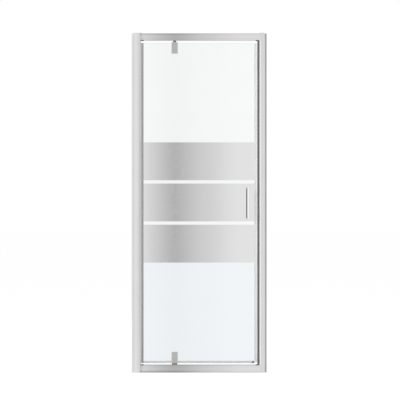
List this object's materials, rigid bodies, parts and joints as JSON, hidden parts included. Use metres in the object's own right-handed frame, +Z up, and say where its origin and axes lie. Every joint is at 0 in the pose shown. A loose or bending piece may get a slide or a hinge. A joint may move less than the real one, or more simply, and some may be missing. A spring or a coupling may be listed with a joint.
{
  "type": "pivot shower door",
  "caption": "Framed alcove shower door: a tall clear glass leaf with mirrored bands across its middle, turning on inset top and bottom pivots between telescoping side posts.",
  "frame": {"origin": "middle of the overall width on the underside of the bottom rail, in the middle plane of the glass", "axes": "+X along the width from the hinge side to the strike side, +Y from the room into the shower, +Z up"},
  "size_m": [0.755, 0.084, 1.9],
  "materials": {
    "frame_metal": "bright polished and anodised",
    "cap_plastic": "moulded, light grey",
    "screw_steel": "plain stainless",
    "nylon": "moulded, dark grey",
    "pin_steel": "turned stainless",
    "bright_chrome": "polished plating",
    "gasket_rubber": "matt",
    "clear_plastic": "clear",
    "clear_glass": "clear toughened",
    "mirror_layer": "silvered",
    "dark_seal": "extruded, mid grey",
    "pale_seal": "extruded, translucent pale grey",
    "smoke_seal": "extruded, translucent grey",
    "magnet_strip": "bonded magnetic strip"
  },
  "bodies": {
    "frame": {"hinge_post": "frame_metal", "strike_post": "frame_metal", "left_post_cap": "cap_plastic", "right_post_cap": "cap_plastic", "top_rail": "frame_metal", "bottom_rail": "frame_metal", "corner_screws": "screw_steel", "top_pivot_block": "nylon", "bottom_pivot_block": "nylon", "top_pivot_bush": "nylon", "bottom_pivot_bush": "nylon", "pivot_block_screws": "screw_steel", "strike_magnet_carrier": "dark_seal", "strike_magnet": "magnet_strip", "left_lock_screws": "screw_steel", "right_lock_screws": "screw_steel", "left_lock_nuts": "screw_steel", "right_lock_nuts": "screw_steel", "left_screw_covers": "cap_plastic", "right_screw_covers": "cap_plastic"},
    "door": {"bottom_clamp_back": "bright_chrome", "bottom_clamp_body": "bright_chrome", "bottom_clamp_gaskets": "gasket_rubber", "bottom_clamp_screws": "screw_steel", "bottom_pivot_pin": "pin_steel", "door_glass": "clear_glass", "door_magnet": "magnet_strip", "door_magnet_carrier": "pale_seal", "drip_seal": "smoke_seal", "handle_sleeves": "clear_plastic", "handle_studs": "screw_steel", "handle_washers": "clear_plastic", "hinge_seal": "dark_seal", "inner_handle_bar": "bright_chrome", "inner_handle_posts": "bright_chrome", "lower_mirror_strip": "mirror_layer", "middle_mirror_strip": "mirror_layer", "outer_handle_bar": "bright_chrome", "outer_handle_posts": "bright_chrome", "top_clamp_back": "bright_chrome", "top_clamp_body": "bright_chrome", "top_clamp_gaskets": "gasket_rubber", "top_clamp_screws": "screw_steel", "top_pivot_pin": "pin_steel", "upper_mirror_strip": "mirror_layer"},
    "left_channel": {"left_wall_channel": "frame_metal"},
    "right_channel": {"right_wall_channel": "frame_metal"}
  },
  "joints": [
    {"name": "door_pivot", "type": "hinge", "parent": "frame", "child": "door", "pos_m": [-0.1375, 0, 0.95], "axis": [0, 0, -1], "range_deg": [0, 100]},
    {"name": "left_width_adjust", "type": "slide", "parent": "frame", "child": "left_channel", "axis": [-1, 0, 0], "range_m": [-0.0075, 0.0075]},
    {"name": "right_width_adjust", "type": "slide", "parent": "frame", "child": "right_channel", "axis": [1, 0, 0], "range_m": [-0.0075, 0.0075]}
  ]
}
